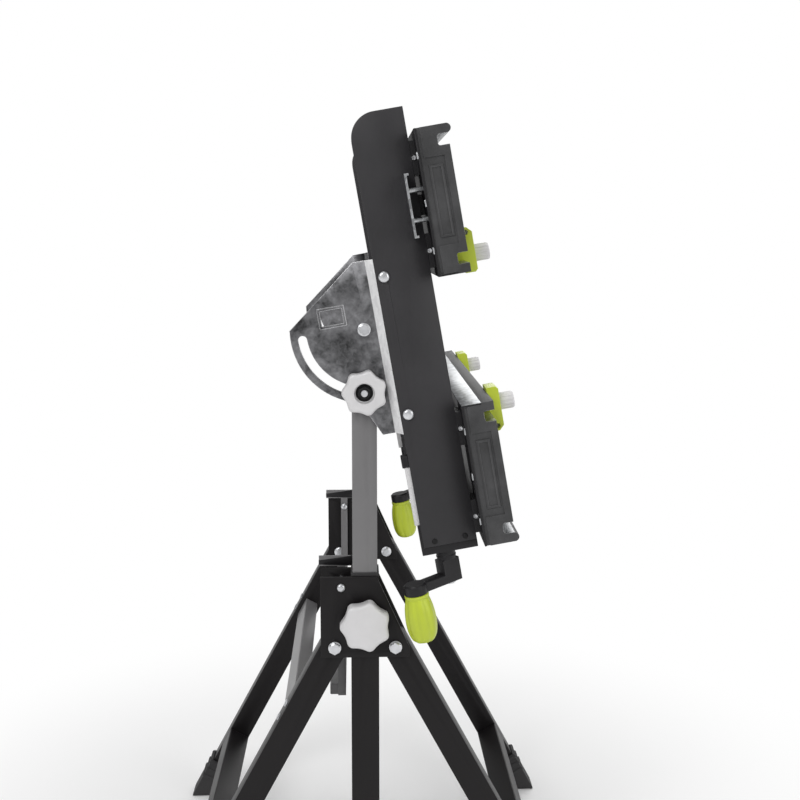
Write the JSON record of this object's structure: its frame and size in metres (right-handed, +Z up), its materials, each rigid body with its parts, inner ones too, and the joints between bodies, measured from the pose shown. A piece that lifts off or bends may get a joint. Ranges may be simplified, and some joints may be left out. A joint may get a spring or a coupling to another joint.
{
  "type": "folding workbench",
  "caption": "Folding workbench whose clamping top tilts between level and near upright on two sliding posts over splayed folding legs",
  "frame": {"origin": "On the floor, midway between the feet and below the tilt axis", "axes": "X runs from the rear of the level top to its cranks, Y along the jaws and away from the viewer, Z up"},
  "size_m": [0.5538, 0.537, 1.0466],
  "materials": {
    "black_paint": "satin",
    "charcoal_paint": "satin",
    "grey_paint": "satin",
    "zinc": "satin",
    "jaw_composite": "matte",
    "black_plastic": "matte",
    "lime_plastic": "satin",
    "light_plastic": "satin"
  },
  "bodies": {
    "stand": {"sleeve_near": "black_paint", "sleeve_far": "black_paint", "hub_outer_near": "black_paint", "hub_outer_far": "black_paint", "hub_inner_near": "black_paint", "hub_inner_far": "black_paint", "sleeve_collars": "black_plastic", "leg_bolts": "zinc", "latch_pins": "zinc"},
    "left_legs": {"left_leg_near": "black_paint", "left_leg_far": "black_paint", "left_brace": "grey_paint", "left_foot_bar": "black_paint", "left_feet": "black_plastic"},
    "right_legs": {"right_leg_near": "black_paint", "right_leg_far": "black_paint", "right_foot_bar": "black_paint", "right_feet": "black_plastic"},
    "latch": {"latch_arm_near": "grey_paint", "latch_arm_far": "grey_paint", "latch_bar": "grey_paint"},
    "posts": {"post_near": "grey_paint", "post_far": "grey_paint", "tilt_bolts": "zinc"},
    "table": {"beam_near": "charcoal_paint", "beam_far": "charcoal_paint", "end_cap_near": "black_plastic", "end_cap_far": "black_plastic", "quadrant_near": "zinc", "quadrant_far": "zinc", "front_rail": "charcoal_paint", "middle_rail": "charcoal_paint", "fixed_jaw": "jaw_composite", "fixed_base": "zinc", "fixed_pads": "black_plastic", "table_bolts": "zinc", "index_strips": "light_plastic"},
    "rear_jaw": {"moving_jaw": "jaw_composite", "moving_base": "zinc", "glide_pads": "black_plastic", "jaw_shoes": "zinc", "screw_nuts": "black_plastic"},
    "crank_near": {"lead_screw_near": "zinc", "crank_near": "black_paint"},
    "grip_near": {"grip_near": "lime_plastic"},
    "tilt_knob_near": {"tilt_knob_near": "light_plastic"},
    "height_knob_near": {"height_knob_near": "light_plastic"},
    "dog_moving_near": {"dog_moving_near": "lime_plastic"},
    "dog_knob_moving_near": {"dog_knob_moving_near": "light_plastic"},
    "dog_fixed_near": {"dog_fixed_near": "lime_plastic"},
    "dog_knob_fixed_near": {"dog_knob_fixed_near": "light_plastic"},
    "crank_far": {"lead_screw_far": "zinc", "crank_far": "black_paint"},
    "grip_far": {"grip_far": "lime_plastic"},
    "tilt_knob_far": {"tilt_knob_far": "light_plastic"},
    "height_knob_far": {"height_knob_far": "light_plastic"},
    "dog_moving_far": {"dog_moving_far": "lime_plastic"},
    "dog_knob_moving_far": {"dog_knob_moving_far": "light_plastic"},
    "dog_fixed_far": {"dog_fixed_far": "lime_plastic"},
    "dog_knob_fixed_far": {"dog_knob_fixed_far": "light_plastic"}
  },
  "joints": [
    {"name": "left_leg_fold", "type": "hinge", "parent": "stand", "child": "left_legs", "pos_m": [-0.037, 0, 0.402], "axis": [0, -1, 0], "range_deg": [0, 28.5]},
    {"name": "right_leg_fold", "type": "hinge", "parent": "stand", "child": "right_legs", "pos_m": [0.037, 0, 0.402], "axis": [0, 1, 0], "range_deg": [0, 28.5]},
    {"name": "latch_swing", "type": "hinge", "parent": "stand", "child": "latch", "pos_m": [-0.029, 0, 0.4775], "axis": [0, -1, 0], "range_deg": [0, 15]},
    {"name": "post_height", "type": "slide", "parent": "stand", "child": "posts", "axis": [0, 0, 1], "range_m": [0, 0.12]},
    {"name": "top_tilt", "type": "hinge", "parent": "posts", "child": "table", "pos_m": [0, 0, 0.79], "axis": [0, 1, 0], "range_deg": [-80, 0]},
    {"name": "jaw_slide", "type": "slide", "parent": "table", "child": "rear_jaw", "axis": [0.1736, 0, -0.9848], "range_m": [-0.025, 0.13]},
    {"name": "crank_turn_near", "type": "hinge", "parent": "table", "child": "crank_near", "pos_m": [0.10144, -0.225, 0.49686], "axis": [0.1736, 0, -0.9848], "continuous": true},
    {"name": "grip_spin_near", "type": "hinge", "parent": "crank_near", "child": "grip_near", "pos_m": [0.06575, -0.25, 0.44995], "axis": [0.1736, 0, -0.9848], "continuous": true},
    {"name": "tilt_knob_turn_near", "type": "hinge", "parent": "posts", "child": "tilt_knob_near", "pos_m": [0, -0.23, 0.7165], "axis": [0, -1, 0], "continuous": true},
    {"name": "height_knob_turn_near", "type": "hinge", "parent": "stand", "child": "height_knob_near", "pos_m": [0, -0.23, 0.43545], "axis": [0, -1, 0], "continuous": true},
    {"name": "dog_moving_near_slide", "type": "slide", "parent": "rear_jaw", "child": "dog_moving_near", "axis": [0, 1, 0], "range_m": [-0.04, 0.12]},
    {"name": "dog_knob_moving_near_turn", "type": "hinge", "parent": "dog_moving_near", "child": "dog_knob_moving_near", "pos_m": [0.13791, -0.184, 0.88032], "axis": [0.9848, 0, 0.1736], "continuous": true},
    {"name": "dog_fixed_near_slide", "type": "slide", "parent": "table", "child": "dog_fixed_near", "axis": [0, 1, 0], "range_m": [-0.04, 0.12]},
    {"name": "dog_knob_fixed_near_turn", "type": "hinge", "parent": "dog_fixed_near", "child": "dog_knob_fixed_near", "pos_m": [0.16986, -0.184, 0.69912], "axis": [0.9848, 0, 0.1736], "continuous": true},
    {"name": "crank_turn_far", "type": "hinge", "parent": "table", "child": "crank_far", "pos_m": [0.10144, 0.225, 0.49686], "axis": [0.1736, 0, -0.9848], "continuous": true},
    {"name": "grip_spin_far", "type": "hinge", "parent": "crank_far", "child": "grip_far", "pos_m": [0.06575, 0.2, 0.44995], "axis": [0.1736, 0, -0.9848], "continuous": true},
    {"name": "tilt_knob_turn_far", "type": "hinge", "parent": "posts", "child": "tilt_knob_far", "pos_m": [0, 0.23, 0.7165], "axis": [0, 1, 0], "continuous": true},
    {"name": "height_knob_turn_far", "type": "hinge", "parent": "stand", "child": "height_knob_far", "pos_m": [0, 0.23, 0.43545], "axis": [0, 1, 0], "continuous": true},
    {"name": "dog_moving_far_slide", "type": "slide", "parent": "rear_jaw", "child": "dog_moving_far", "axis": [0, 1, 0], "range_m": [-0.12, 0.04]},
    {"name": "dog_knob_moving_far_turn", "type": "hinge", "parent": "dog_moving_far", "child": "dog_knob_moving_far", "pos_m": [0.13791, 0.184, 0.88032], "axis": [0.9848, 0, 0.1736], "continuous": true},
    {"name": "dog_fixed_far_slide", "type": "slide", "parent": "table", "child": "dog_fixed_far", "axis": [0, 1, 0], "range_m": [-0.12, 0.04]},
    {"name": "dog_knob_fixed_far_turn", "type": "hinge", "parent": "dog_fixed_far", "child": "dog_knob_fixed_far", "pos_m": [0.16986, 0.184, 0.69912], "axis": [0.9848, 0, 0.1736], "continuous": true}
  ],
  "couplings": [
    {"joint": "crank_turn_near", "follows": "jaw_slide", "rad_per_m": 628.32},
    {"joint": "crank_turn_far", "follows": "jaw_slide", "rad_per_m": 628.32}
  ]
}
